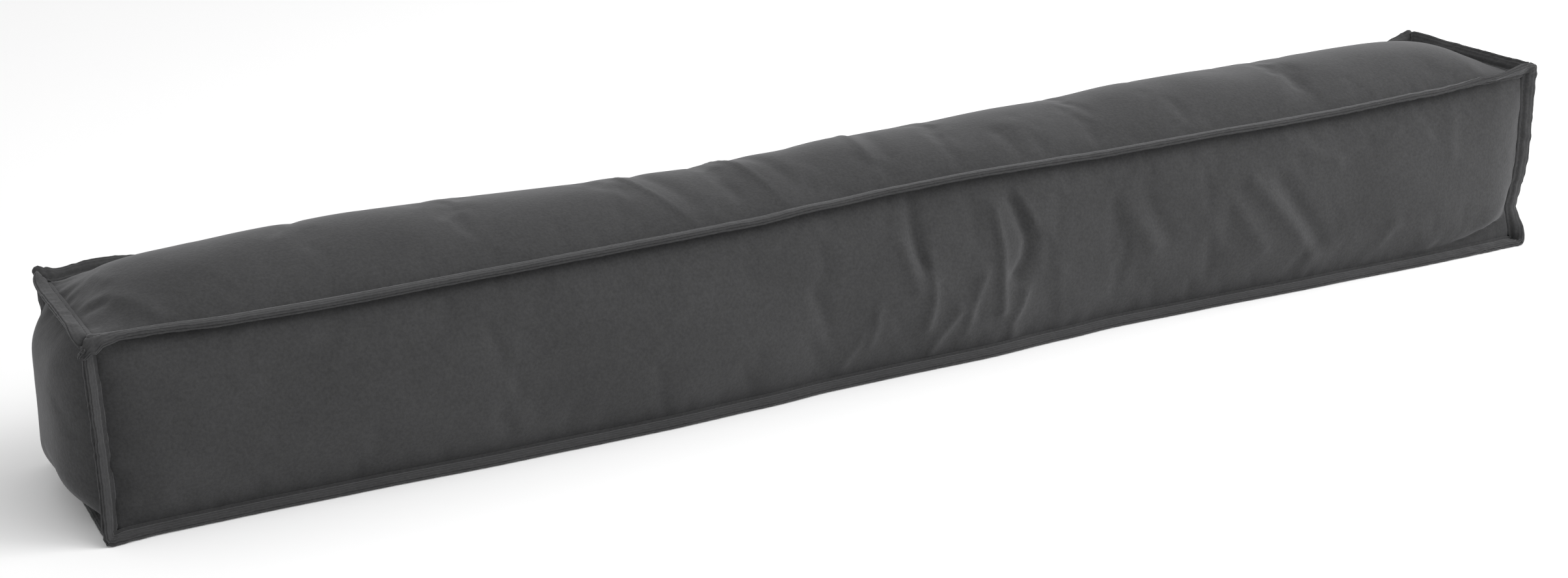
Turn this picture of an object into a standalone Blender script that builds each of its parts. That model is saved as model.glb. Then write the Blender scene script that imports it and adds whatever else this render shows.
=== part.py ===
"""Draught excluder: a long boxed cushion of plain velvet with a sewn flange along every edge.

The cushion lies along X and rests on its bottom panel at z = 0. Its front panel faces -Y.
Six crowned panels make one filled solid. Each flange stands on a seam as a solid of its own.
"""
import math

import bmesh
import bpy
from mathutils import Vector

# Sizes of the sewn cover, seam to seam, in metres
LENGTH = 0.884
DEPTH = 0.105
HEIGHT = 0.1025  # a little less than the depth: the filling settles

# Flanges
FLANGE_WIDTH = 0.009
FLANGE_THICKNESS = 0.0032
FLANGE_ROOT = 0.0018  # first stretch, along the seam's bisector, before the flange bends
SEWN_GAP = 0.0003  # between a flange's root and the cushion
LOWEST_FLANGE = 0.0019  # middle of a flange that lies on the floor
RING_STEP = 0.0098
CROSS_STEP = 0.0105
CROSS_END_CLEARANCE = 0.0065  # from the corner seam to the end of a cross flange

# Cushion
SEAM_LAND = 0.0023  # each panel stops this short of the sharp corner, where a flange's root sits
BOTTOM_SEAM_HEIGHT = 0.0030
CORNER_BLUNTING = 1.25  # how much further than its seams a corner of the cushion is drawn in
BACK_SHARE = 0.5  # the back seams stand out by this share of what the front ones do
CELLS_ACROSS = 12  # faces across the depth, and across the height
CROWN_REACH = 0.050  # a panel gets its full crown this far from its seams
CROWN_POWER = 2.2
BACK_CROWN = 0.011
BOTTOM_CROWN = 0.0065  # pressed flat where it would pass the floor

# Sections along the cushion, from the left end. Lengths are in millimetres, tilts in degrees.
# along: place on the length; cells: faces from here to the next section
# front_out: how far the top seams stand out; foot_out: the same for the bottom seams
# front_drop, back_drop: how far the top seams sag; front_crown, top_crown: bulge of those panels
# front_tilt, back_tilt: the top flanges' tilt, 0 level and 90 upright
SECTION_COLUMNS = ("along", "cells", "front_out", "foot_out", "front_drop", "back_drop",
                   "front_crown", "top_crown", "front_tilt", "back_tilt")
SECTIONS = (
    (-442, 4, 0.0, 7.5, 1.5, 2.0, 8.0, 8.0, -14, 10),
    (-415, 5, 0.5, 7.0, 2.0, 2.0, 9.5, 12.0, -8, 25),
    (-370, 6, 1.5, 7.0, 3.5, 1.0, 10.5, 17.0, -12, 30),
    (-320, 9, 2.0, 8.0, 3.8, -1.5, 11.0, 19.5, -14, 10),
    (-235, 9, 2.5, 11.0, 3.2, -1.0, 11.5, 18.2, -12, -30),
    (-150, 7, 2.5, 12.0, 2.8, 3.5, 11.5, 17.3, -9, -40),
    (-90, 7, 2.0, 10.0, 2.2, 6.0, 11.0, 16.2, -8, -40),
    (-45, 8, 1.0, 6.5, 0.6, 6.0, 10.5, 17.0, -3, -40),
    (0, 9, 0.5, 6.0, -0.6, 5.0, 10.0, 16.5, 0, -40),
    (50, 10, 0.5, 6.5, -1.4, 3.0, 9.5, 15.8, 0, -40),
    (105, 6, 0.0, 3.0, -0.5, 1.0, 8.5, 16.3, 0, -40),
    (143, 6, -0.5, 0.5, 0.4, 0.0, 8.5, 15.0, 0, -40),
    (200, 9, 0.0, 2.0, 0.2, -1.5, 9.5, 17.8, 0, -40),
    (290, 9, 0.5, 5.0, 0.4, -2.0, 10.0, 17.5, 2, -35),
    (370, 5, 0.5, 7.0, -0.8, -1.5, 9.5, 15.0, 6, -15),
    (415, 4, 0.5, 7.0, -1.8, -2.5, 8.0, 10.5, 22, 5),
    (442, 0, 0.0, 6.0, -1.4, -2.4, 6.0, 7.0, 55, 30),
)

# The upright seams of the front panel, from the floor up. Lengths are in millimetres.
# height: place on the seam; out: how far it stands out at its end; tilt: the flange's, in degrees
UPRIGHT_COLUMNS = ("height", "out", "tilt")
LEFT_UPRIGHT = ((0, 2.0, 50), (30, 0.5, 50), (90, 0.0, 45), (106, 0.0, 40))
RIGHT_UPRIGHT = ((0, -5.6, 10), (12, -6.2, 4), (23, -7.6, -4), (34, -6.0, 4), (50, -2.6, 20),
                 (75, 0.0, 25), (106, 3.0, 25))
END_SHIFT_REACH = 0.060  # the panels follow an upright seam's shift this far from it
END_SHIFT_POWER = 1.5

# End panels, in millimetres
LEFT_END_CROWN = 19.0
RIGHT_END_CROWN = 15.0
END_CROWN_REACH = 0.040
END_FOOT_REACH = 0.022  # the same above the floor, where the filling has settled

# Tilts of the other flanges, 0 level and 90 in the plane of the panel that they ring, in degrees
BOTTOM_TILT = 6
BACK_UPRIGHT_TILT = 45
# name: tilt in degrees, width in metres
CROSS_FLANGES = {"left_top": (4, 0.009), "right_top": (38, 0.009),
                 "left_bottom": (6, 0.0065), "right_bottom": (6, 0.009)}
CORNER_FAN = ((2.2, 0.00), (1.1, 0.30), (0.45, 0.65))  # widths before a corner, share of its lobe
CORNER_LIFT = 0.0014  # a ring stands this much further out at its corners, where it folds

# The rounded lobe of flange at each corner of the front (side -1) and back panel
# side, end, level: which corner; along, across, up: its direction; reach: in flange widths
LOBE_COLUMNS = ("side", "end", "level", "along", "across", "up", "reach")
CORNER_LOBES = (
    (-1, -1, -1, -0.46, -0.88, -0.05, 1.38),
    (-1, 1, -1, 0.04, -0.99, -0.10, 1.05),
    (-1, 1, 1, 0.42, -0.55, 0.70, 1.05),
    (-1, -1, 1, -0.32, -0.72, -0.62, 1.40),
    (1, -1, -1, -0.50, 0.85, -0.10, 1.25),
    (1, 1, -1, 0.50, 0.85, -0.10, 1.25),
    (1, 1, 1, 0.35, 0.70, 0.62, 1.25),
    (1, -1, 1, -0.22, 0.85, 0.42, 1.20),
)

# Folds, in millimetres. Each is a ridge (rise above 0) or a hollow (rise below 0) between two
# places on its panel: along the length, and across (height on the front, depth on the top).
FOLD_COLUMNS = ("from_along", "from_across", "to_along", "to_across", "half_width", "rise")
FRONT_FOLDS = (
    (6, 98, 14, 60, 6.0, -3.4),
    (20, 62, 23, 24, 6.0, 2.2),
    (52, 46, 43, 15, 6.5, 2.0),
    (36, 32, 19, 5, 6.0, 2.2),
    (64, 84, 66, 25, 7.0, 2.6),
    (78, 98, 89, 66, 6.5, -4.4),
    (89, 66, 76, 42, 6.5, -4.4),
    (84, 32, 71, 6, 6.5, 2.4),
    (106, 42, 105, 10, 7.0, 1.8),
    (-14, 40, -17, 18, 6.0, 1.4),
    (155, 70, 172, 42, 8.0, 1.6),
    (241, 70, 279, 28, 9.0, 1.8),
    (260, 66, 291, 37, 8.0, -1.8),
    (334, 36, 320, 17, 8.0, 1.5),
)
TOP_FOLDS = (
    (-130, 26, -127, -30, 7.0, -3.2),
    (-127, -30, -124, -52, 6.5, -2.4),
    (-118, 20, -115, -45, 7.0, 1.6),
    (-73, 15, -66, -18, 6.5, -2.8),
    (-66, -18, -68, -50, 6.5, -2.4),
    (6, 14, 9, -28, 6.5, -2.4),
    (86, -25, 88, -52, 6.5, -1.6),
    (298, -12, 285, -50, 8.0, -1.8),
)
# The front panel is unfilled below this line at its right end
EMPTY_CORNER_FROM = (360, 0)
EMPTY_CORNER_TO = (440, 22)
EMPTY_CORNER_EDGE = 0.009  # height over which the filling returns above the line

VELVET = (0.075, 0.075, 0.077)
VELVET_ROUGHNESS = 0.95

MM = 0.001
FRONT, UP, RIGHT = Vector((0, -1, 0)), Vector((0, 0, 1)), Vector((1, 0, 0))


def clear_scene():
    """Remove what the startup file holds."""
    for item in list(bpy.data.objects):
        bpy.data.objects.remove(item, do_unlink=True)


def blended(rows, columns, name, place):
    """Value of a table's named column at a place in its first column, smoothly blended."""
    column = columns.index(name)
    place = min(max(place, rows[0][0]), rows[-1][0])
    for near, far in zip(rows, rows[1:]):
        if place <= far[0]:
            share = (place - near[0]) / (far[0] - near[0])
            ease = share * share * (3 - 2 * share)
            return near[column] + (far[column] - near[column]) * ease
    return rows[-1][column]


def section(name, along):
    """Value of one column of the section table at a place on the length."""
    return blended(SECTIONS, SECTION_COLUMNS, name, along / MM)


def upright(name, end, height):
    """Value of one column for the upright seam at the left (-1) or right (1) end."""
    rows = LEFT_UPRIGHT if end < 0 else RIGHT_UPRIGHT
    return blended(rows, UPRIGHT_COLUMNS, name, height / MM)


def seam(along, side, level):
    """Sharp corner of the cover: side -1 is the front and 1 the back, level -1 is the bottom."""
    if level > 0:
        out = section("front_out", along)
        drop = section("front_drop" if side < 0 else "back_drop", along)
        height = BOTTOM_SEAM_HEIGHT + HEIGHT - drop * MM
    else:
        out = section("foot_out", along)
        height = BOTTOM_SEAM_HEIGHT
    if side > 0:
        out *= BACK_SHARE
    return Vector((along, side * (DEPTH / 2 + out * MM), height))


def end_shift(along, across, height):
    """How far along X a point follows the upright seam of the nearer end."""
    end = math.copysign(1, along)
    from_land = max(LENGTH / 2 - abs(along) - SEAM_LAND, 0.0)
    near_end = max(1 - from_land / END_SHIFT_REACH, 0.0)
    return end * upright("out", end, height) * MM * near_end ** END_SHIFT_POWER * (1 - across) / 2


def box_point(along, across, upward):
    """Point of the cover before its panels are crowned; across and upward run from -1 to 1."""
    low = seam(along, -1, -1).lerp(seam(along, 1, -1), (across + 1) / 2)
    high = seam(along, -1, 1).lerp(seam(along, 1, 1), (across + 1) / 2)
    point = low.lerp(high, (upward + 1) / 2)
    point.x += end_shift(along, across, point.z)
    return point


def crown_share(distance, reach):
    """Share of a panel's crown at a distance from its seam."""
    share = min(max(distance / reach, 0.0), 1.0)
    return 1 - (1 - share) ** CROWN_POWER


def panel_share(place, half_size, reach=CROWN_REACH):
    """Share of the crown at a place on a panel, given from its middle, for one direction."""
    return crown_share(half_size - SEAM_LAND - abs(place), reach)


def fold_rise(folds, along, across):
    """Rise of a panel at one place that its folds add up to."""
    here = Vector((along / MM, across / MM))
    total = 0.0
    for row in folds:
        fold = dict(zip(FOLD_COLUMNS, row))
        start = Vector((fold["from_along"], fold["from_across"]))
        run = Vector((fold["to_along"], fold["to_across"])) - start
        share = min(max((here - start).dot(run) / run.length_squared, 0.0), 1.0)
        distance = (here - start - run * share).length
        total += fold["rise"] * math.exp(-(distance / fold["half_width"]) ** 2)
    return total * MM


def filled_share(along, height):
    """1 where the front panel is filled, falling to 0 in its empty bottom right corner."""
    start, end = Vector(EMPTY_CORNER_FROM) * MM, Vector(EMPTY_CORNER_TO) * MM
    if along < start.x:
        return 1.0
    line = start.y + (end.y - start.y) * (along - start.x) / (end.x - start.x)
    share = min(max((height - line) / EMPTY_CORNER_EDGE, 0.0), 1.0)
    return share * share * (3 - 2 * share)


def station_places():
    """Places along the length of the cushion's rings of faces."""
    places = []
    for near, far in zip(SECTIONS, SECTIONS[1:]):
        cells = near[SECTION_COLUMNS.index("cells")]
        places += [(near[0] + (far[0] - near[0]) * step / cells) * MM for step in range(cells)]
    return [places[0], places[0] + SEAM_LAND] + places[1:] + [LENGTH / 2 - SEAM_LAND, LENGTH / 2]


def across_places():
    """Places across a panel from -1 to 1, with a narrow face beside each seam."""
    land = SEAM_LAND / (DEPTH / 2)
    inner = [land - 1 + (2 - 2 * land) * step / (CELLS_ACROSS - 2) for step in range(CELLS_ACROSS - 1)]
    return [-1.0] + inner + [1.0]


def crowned(place, across, upward):
    """Point of the filled cushion for one place on the cover."""
    point = box_point(place, across, upward)
    ends = (abs(place) > LENGTH / 2 - 1e-6, abs(across) > 1 - 1e-6, abs(upward) > 1 - 1e-6)
    if sum(ends) > 1:
        inward = SEAM_LAND / 2 * (CORNER_BLUNTING if sum(ends) == 3 else 1.0)
        point.x -= math.copysign(inward, place) * ends[0]
        point.y -= math.copysign(inward, across) * ends[1]
        point.z -= math.copysign(inward, upward) * ends[2]
        return point
    half_length, half_depth, half_height = LENGTH / 2, DEPTH / 2, HEIGHT / 2
    if ends[0]:
        crown = LEFT_END_CROWN if place < 0 else RIGHT_END_CROWN
        height = (upward + 1) * half_height - SEAM_LAND
        share = panel_share(across * half_depth, half_depth, END_CROWN_REACH)
        share *= crown_share(HEIGHT - 2 * SEAM_LAND - height, END_CROWN_REACH)
        share *= crown_share(height, END_FOOT_REACH)
        point.x += math.copysign(crown * MM * share, place)
        return point
    if ends[1]:
        share = panel_share(place, half_length) * panel_share(upward * half_height, half_height)
        if across > 0:
            point.y += BACK_CROWN * share
            return point
        height = (upward + 1) * half_height
        bulge = section("front_crown", place) * MM * share * filled_share(place, height)
        point.y -= bulge + fold_rise(FRONT_FOLDS, place, height) * share ** 0.5
        return point
    share = panel_share(place, half_length) * panel_share(across * half_depth, half_depth)
    if upward < 0:
        point.z = max(point.z - BOTTOM_CROWN * share, 0.0)
        return point
    bulge = section("top_crown", place) * MM * share
    point.z += bulge + fold_rise(TOP_FOLDS, place, across * half_depth) * share ** 0.5
    return point


def edges_along(mesh, axis):
    """Edges of a box that run along one axis."""
    return [edge for edge in mesh.edges
            if abs((edge.verts[0].co - edge.verts[1].co).normalized()[axis]) > 0.99]


def make_cushion():
    """The filled cushion, from a cube that is cut into a grid and then shaped."""
    lengthways, crossways = station_places(), across_places()
    mesh = bmesh.new()
    bmesh.ops.create_cube(mesh, size=2.0)
    for axis, places in ((0, lengthways), (1, crossways), (2, crossways)):
        bmesh.ops.subdivide_edges(mesh, edges=edges_along(mesh, axis), cuts=len(places) - 2,
                                  use_grid_fill=True)
    for vert in mesh.verts:
        place = lengthways[round((vert.co.x + 1) / 2 * (len(lengthways) - 1))]
        across = crossways[round((vert.co.y + 1) / 2 * (len(crossways) - 1))]
        upward = crossways[round((vert.co.z + 1) / 2 * (len(crossways) - 1))]
        vert.co = crowned(place, across, upward)
    return mesh


def flange_direction(panel_normal, outward, tilt):
    """Direction of a flange between its panel's normal and the way out in the panel's plane."""
    angle = math.radians(tilt)
    return (panel_normal * math.cos(angle) + outward * math.sin(angle)).normalized()


def flange_points(corner, bisector, direction, width, lift=0.0):
    """Root, bend and tip of a flange that stands on a seam's sharp corner."""
    root = corner + bisector * (SEWN_GAP - SEAM_LAND / math.sqrt(2) + lift)
    bend = root + bisector * FLANGE_ROOT
    tip = bend + direction * (width - FLANGE_ROOT)
    for point in (root, bend, tip):
        point.z = max(point.z, LOWEST_FLANGE)
    return root, bend, tip


def corner_lobe(side, end, level):
    """Direction and length of the flange at one corner of a ring."""
    row = next(row for row in CORNER_LOBES if row[:3] == (side, end, level))
    lobe = dict(zip(LOBE_COLUMNS, row))
    direction = Vector((lobe["along"], lobe["across"], lobe["up"])).normalized()
    return direction, lobe["reach"] * FLANGE_WIDTH


def side_places(length, upright_side):
    """Places along one side of a ring, from one corner's fan to the other's."""
    inner = CORNER_FAN[0][0] * FLANGE_WIDTH
    if upright_side:
        middle = [(level + 1) / 2 * length for level in across_places()[2:-2]]
    else:
        count = round((length - 2 * inner) / RING_STEP)
        middle = [inner + (length - 2 * inner) * step / count for step in range(count + 1)]
    fan = [widths * FLANGE_WIDTH for widths, _ in reversed(CORNER_FAN[1:])]
    return fan + middle + [length - place for place in reversed(fan)]


def turn_share(place, length):
    """Share of a corner's lobe that a flange beside it has, above 0 for the corner ahead."""
    share = 0.0
    for widths, turned in CORNER_FAN:
        if place <= widths * FLANGE_WIDTH + 1e-9:
            share = -turned
        if length - place <= widths * FLANGE_WIDTH + 1e-9:
            share = turned
    return share


def ring_rows(side):
    """Root, bend and tip of each station round the front (-1) or back (1) panel."""
    half = LENGTH / 2
    # each side: from along and level, to along and level, its way out and the next side's
    walk = ((-half, -1, half, -1, -UP, RIGHT), (half, -1, half, 1, RIGHT, UP),
            (half, 1, -half, 1, UP, -RIGHT), (-half, 1, -half, -1, -RIGHT, -UP))
    normal = FRONT if side < 0 else -FRONT
    rows = []
    for from_along, from_level, to_along, to_level, outward, next_outward in walk:
        length = LENGTH if from_level == to_level else HEIGHT
        for place in side_places(length, from_level != to_level):
            share = place / length
            along = from_along + (to_along - from_along) * share
            level = from_level + (to_level - from_level) * share
            corner = box_point(along, side, level)
            if from_level == -1 == to_level:
                tilt = BOTTOM_TILT
            elif from_level == to_level:
                tilt = section("front_tilt" if side < 0 else "back_tilt", along)
            elif side < 0:
                tilt = upright("tilt", math.copysign(1, along), corner.z)
            else:
                tilt = BACK_UPRIGHT_TILT
            direction, width = flange_direction(normal, outward, tilt), FLANGE_WIDTH
            turned = turn_share(place, length)
            if turned:
                ahead = turned > 0
                lobe, reach = corner_lobe(side, math.copysign(1, to_along if ahead else from_along),
                                          to_level if ahead else from_level)
                direction = direction.lerp(lobe, abs(turned)).normalized()
                width += (reach - width) * abs(turned)
            bisector = (normal + outward).normalized()
            rows.append(flange_points(corner, bisector, direction, width))
        corner = box_point(to_along, side, to_level)
        bisector = (normal + (outward + next_outward).normalized()).normalized()
        lobe, reach = corner_lobe(side, math.copysign(1, to_along), to_level)
        rows.append(flange_points(corner, bisector, lobe, reach, CORNER_LIFT))
    return rows


def make_ring(side):
    """Closed ring of flange round a panel: a circle of edges, extruded twice and shaped."""
    rows = ring_rows(side)
    mesh = bmesh.new()
    bmesh.ops.create_circle(mesh, cap_ends=False, radius=1.0, segments=len(rows))
    for _ in range(len(rows[0]) - 1):
        rim = [edge for edge in mesh.edges if all(vert.co.z < 0.5 for vert in edge.verts)]
        bmesh.ops.translate(mesh, verts=mesh.verts, vec=UP)
        extruded = bmesh.ops.extrude_edge_only(mesh, edges=rim)
        new = [item for item in extruded["geom"] if isinstance(item, bmesh.types.BMVert)]
        bmesh.ops.translate(mesh, verts=new, vec=-UP)
    for vert in mesh.verts:
        turn = math.atan2(vert.co.y, vert.co.x) / math.tau
        station = round(turn * len(rows)) % len(rows)
        vert.co = rows[station][round(vert.co.z)]
    return mesh


def make_cross(name):
    """Short flange along one edge of an end panel, between the two rings."""
    end = -1 if name.startswith("left") else 1
    level = 1 if name.endswith("top") else -1
    length = (box_point(end * LENGTH / 2, 1, level) - box_point(end * LENGTH / 2, -1, level)).length
    count = round((length - 2 * CROSS_END_CLEARANCE) / CROSS_STEP)
    tilt, width = CROSS_FLANGES[name]
    direction = flange_direction(RIGHT * end, UP * level, tilt)
    bisector = (RIGHT * end + UP * level).normalized()
    rows = []
    for step in range(count + 1):
        place = CROSS_END_CLEARANCE + (length - 2 * CROSS_END_CLEARANCE) * step / count
        corner = box_point(end * LENGTH / 2, 2 * place / length - 1, level)
        rows.append(flange_points(corner, bisector, direction, width))
    mesh = bmesh.new()
    bmesh.ops.create_grid(mesh, x_segments=len(rows) - 1, y_segments=len(rows[0]) - 1, size=1.0)
    for vert in mesh.verts:
        station = round((vert.co.x + 1) / 2 * (len(rows) - 1))
        vert.co = rows[station][round((vert.co.y + 1) / 2 * (len(rows[0]) - 1))]
    return mesh


def velvet_material(name):
    """Plain dark grey velvet for one sub-part."""
    material = bpy.data.materials.new(name + "_velvet")
    material.use_nodes = True
    shader = material.node_tree.nodes["Principled BSDF"]
    shader.inputs["Base Color"].default_value = (*VELVET, 1.0)
    shader.inputs["Roughness"].default_value = VELVET_ROUGHNESS
    shader.inputs["Metallic"].default_value = 0.0
    return material


def add_object(name, mesh, collection):
    """Turn a modelled mesh into a named object of the collection."""
    bmesh.ops.recalc_face_normals(mesh, faces=mesh.faces)
    data = bpy.data.meshes.new(name)
    mesh.to_mesh(data)
    mesh.free()
    data.materials.append(velvet_material(name))
    item = bpy.data.objects.new(name, data)
    collection.objects.link(item)
    return item


def add_flange(name, mesh, collection):
    """A flange: its strip given the thickness of the sewn layers."""
    item = add_object(name, mesh, collection)
    layers = item.modifiers.new("layers", "SOLIDIFY")
    layers.thickness = FLANGE_THICKNESS
    layers.offset = 0.0
    layers.use_even_offset = True
    return item


def centre_over_origin(items):
    """Move the pieces together so that the middle of their box stands over the origin."""
    bpy.context.view_layer.update()
    graph = bpy.context.evaluated_depsgraph_get()
    corners = [Vector(corner) for item in items for corner in item.evaluated_get(graph).bound_box]
    for axis in (0, 1):
        low, high = min(c[axis] for c in corners), max(c[axis] for c in corners)
        for item in items:
            item.location[axis] -= (low + high) / 2


def main():
    """Build the draught excluder."""
    clear_scene()
    collection = bpy.data.collections.new("draught_excluder")
    bpy.context.scene.collection.children.link(collection)
    items = [add_object("cushion", make_cushion(), collection),
             add_flange("front_flange", make_ring(-1), collection),
             add_flange("back_flange", make_ring(1), collection)]
    for name in CROSS_FLANGES:
        items.append(add_flange(name + "_flange", make_cross(name), collection))
    centre_over_origin(items)


main()
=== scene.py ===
"""Looks of the draught excluder: a filled velvet cover, its sewn flanges and their topstitching.

The file is laid out as a Blender add-on and is run as a script. Lengths are in metres, in the
frame of the CAD model, which it loads and dresses. The cover lies along X and its front faces -Y.
"""

import math
from collections import namedtuple

import bmesh
import bpy
from mathutils import Matrix, Vector, noise


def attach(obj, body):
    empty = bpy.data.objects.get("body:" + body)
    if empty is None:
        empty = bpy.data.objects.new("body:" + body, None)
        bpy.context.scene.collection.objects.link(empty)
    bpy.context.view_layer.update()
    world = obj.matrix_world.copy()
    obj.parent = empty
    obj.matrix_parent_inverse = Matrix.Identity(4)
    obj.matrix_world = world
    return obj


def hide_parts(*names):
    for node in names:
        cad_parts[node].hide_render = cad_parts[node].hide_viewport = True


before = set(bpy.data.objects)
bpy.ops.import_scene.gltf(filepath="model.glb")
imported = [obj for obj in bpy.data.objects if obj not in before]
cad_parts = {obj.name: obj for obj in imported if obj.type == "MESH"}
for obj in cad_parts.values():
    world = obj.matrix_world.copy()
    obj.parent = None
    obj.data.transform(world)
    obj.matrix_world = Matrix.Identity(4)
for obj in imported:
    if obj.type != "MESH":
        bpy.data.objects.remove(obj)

bl_info = {
    "name": "Draught Excluder",
    "version": (1, 0, 0),
    "blender": (4, 5, 0),
    "location": "3D View > Sidebar > Draught Excluder",
    "description": "Makes a boxed velvet draught excluder with a sewn flange along every edge",
    "category": "Add Mesh",
}

MM = 0.001
FRONT, UP, RIGHT = Vector((0, -1, 0)), Vector((0, 0, 1)), Vector((1, 0, 0))

# Cover, seam to seam: its length, depth and height are the CAD model's
CENTRE = Vector((0.002326, 0.002477, 0.0))  # middle of the seams, at floor height
LENGTH = 0.884
DEPTH = 0.105
HEIGHT = 0.1025
SEAM_LAND = 0.0023  # each panel stops this short of the sharp corner
BOTTOM_SEAM_HEIGHT = 0.0030
CORNER_BLUNTING = 1.25
BACK_SHARE = 0.5
CROWN_REACH = 0.050
CROWN_POWER = 2.2
FRONT_CROWN_POWER = 4.0  # the front panel is flatter and turns in more sharply
BACK_CROWN = 0.011
BOTTOM_CROWN = 0.0065
LEFT_END_CROWN = 0.018
RIGHT_END_CROWN = 0.015
END_CROWN_REACH = 0.036
END_HEAD_REACH = 0.025
END_FOOT_REACH = 0.024
END_LEAN = 0.25  # share by which an end bulges more at its foot than at its head
END_SHIFT_REACH = 0.060
END_SHIFT_POWER = 1.5
FLOOR_CLEARANCE = 0.0002
LENGTH_TOLERANCE = 1e-5  # metres from an end of the cover that still count as at it
SHARE_TOLERANCE = 1e-4  # the same across the cover, where places run from -1 to 1
PARALLEL = 0.99  # part of its length that an edge has along the axis it follows

# Sections along the cover, from the left end: lengths in millimetres, tilts in degrees
SECTION_COLUMNS = ("along", "front_out", "foot_out", "front_drop", "back_drop",
                   "front_crown", "top_crown", "front_tilt", "back_tilt")
SECTIONS = (
    (-442, 0.0, 7.5, 1.5, 2.0, 8.0, 8.0, -14, 10),
    (-415, 0.5, 7.0, 2.0, 0.0, 9.5, 17.0, -8, 25),
    (-370, 1.5, 7.0, 3.5, 0.2, 10.5, 20.0, -12, -25),
    (-320, 2.0, 8.0, 3.8, -1.5, 11.0, 20.6, -14, -30),
    (-235, 2.5, 11.0, 3.2, -1.0, 11.5, 19.0, -12, -35),
    (-150, 2.5, 12.0, 2.8, 3.5, 11.5, 17.8, -9, -40),
    (-90, 2.0, 10.0, 2.2, 6.0, 11.0, 17.0, -8, -40),
    (-45, 1.0, 6.5, 0.6, 6.0, 10.5, 18.9, -3, -40),
    (0, 0.5, 6.0, -0.6, 5.0, 10.0, 19.6, 0, -40),
    (50, 0.5, 6.5, -1.4, 3.0, 9.5, 17.6, 0, -40),
    (105, 0.0, 3.0, -0.5, 1.0, 8.5, 18.2, 0, -40),
    (143, -0.5, 0.5, 0.4, 0.0, 8.5, 17.0, 0, -40),
    (200, 0.0, 2.0, 0.2, -1.5, 9.5, 19.0, 0, -40),
    (290, 0.5, 5.0, 0.4, -2.0, 10.0, 18.0, 2, -35),
    (370, 0.5, 7.0, -0.8, -1.5, 9.5, 17.6, 6, -45),
    (415, 0.5, 7.0, -1.8, -2.5, 8.0, 15.5, 22, -40),
    (442, 0.0, 6.0, -1.4, -2.4, 6.0, 8.0, 55, 30),
)
UPRIGHT_COLUMNS = ("height", "out", "tilt")
LEFT_UPRIGHT = ((0, 2.0, 50), (30, 0.5, 50), (90, 0.0, 45), (106, 0.0, 40))
RIGHT_UPRIGHT = ((0, -5.6, 88), (10, -6.0, 92), (17, -7.6, 98), (24, -8.6, 108), (35, -5.2, 103),
                 (45, -2.0, 96), (54, 0.0, 93), (71, 1.8, 90), (90, 3.4, 86), (106, 3.8, 82))

# Flanges, on the CAD model's seams: tilts in degrees
FLANGE_ROOT = 0.0018
SEWN_GAP = 0.0003
LOWEST_FLANGE = 0.0019
CROSS_END_CLEARANCE = 0.0016  # the ring's ear covers the end of a cross flange
BOTTOM_TILT = 6
BACK_UPRIGHT_TILTS = {-1: 18, 1: 45}  # left and right end
CORNER_LIFT = 0.0014
CROSS_FLANGES = {"left_top": (4, 0.009), "right_top": (50, 0.009),
                 "left_bottom": (6, 0.0065), "right_bottom": (6, 0.009)}
# Distance from a corner in flange widths, share of its lobe
CORNER_TURN = ((0.0, 1.0), (0.12, 0.95), (0.45, 0.65), (1.1, 0.30), (2.2, 0.0))
CORNER_PLACES = (0.0, 0.08, 0.17, 0.27, 0.38, 0.50, 0.65, 0.85, 1.1, 1.4, 1.75)  # flange widths
EAR_ROUNDING = 0.13  # share of its reach that the very tip of a corner loses
EAR_TIP = 0.20  # flange widths over which it does
CROSS_REACH = 1.15  # a cross flange's ends stay under the ring's ears
LONG_SWAY = 1.6  # strength of a flange's long waves, and their pitch level and upright
LONG_SWAY_PITCH = 0.085
LONG_SWAY_RISE = 0.05
SHORT_SWAY = 0.7
SHORT_SWAY_PITCH = 0.028
# Side, end, level: which corner; along, across, up: its direction; reach: in flange widths
# upright_turn, level_turn: share of the usual distance over which each flange turns into it
# gather: how strongly the cloth is crumpled there
LOBE_COLUMNS = ("side", "end", "level", "along", "across", "up", "reach", "upright_turn",
                "level_turn", "gather")
CORNER_LOBES = (
    (-1, -1, -1, -0.46, -0.88, -0.05, 1.38, 1.0, 1.0, 0.3),
    (-1, 1, -1, 0.25, -0.93, -0.16, 1.12, 0.8, 0.8, 0.4),
    (-1, 1, 1, 0.75, -0.22, 0.60, 1.22, 0.7, 1.0, 0.4),
    (-1, -1, 1, -0.45, -0.57, -0.72, 1.90, 0.30, 0.60, 1.0),
    (1, -1, -1, -0.50, 0.85, -0.10, 1.25, 1.0, 1.0, 0.4),
    (1, 1, -1, 0.50, 0.85, -0.10, 1.25, 1.0, 1.0, 0.4),
    (1, 1, 1, 0.35, 0.70, 0.62, 1.25, 1.0, 0.35, 0.4),
    (1, -1, 1, -0.30, 0.72, 0.60, 1.32, 0.9, 0.6, 0.5),
)
GATHER_PITCH = 0.34  # flange widths between the crumples of a corner
GATHER_REACH = 1.1  # flange widths from the corner where they fade

# The front panel is unfilled below this line at its right end, in millimetres
EMPTY_CORNER_FROM = (372, 0)
EMPTY_CORNER_TO = (440, 15)
EMPTY_CORNER_EDGE = 0.0036

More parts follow.
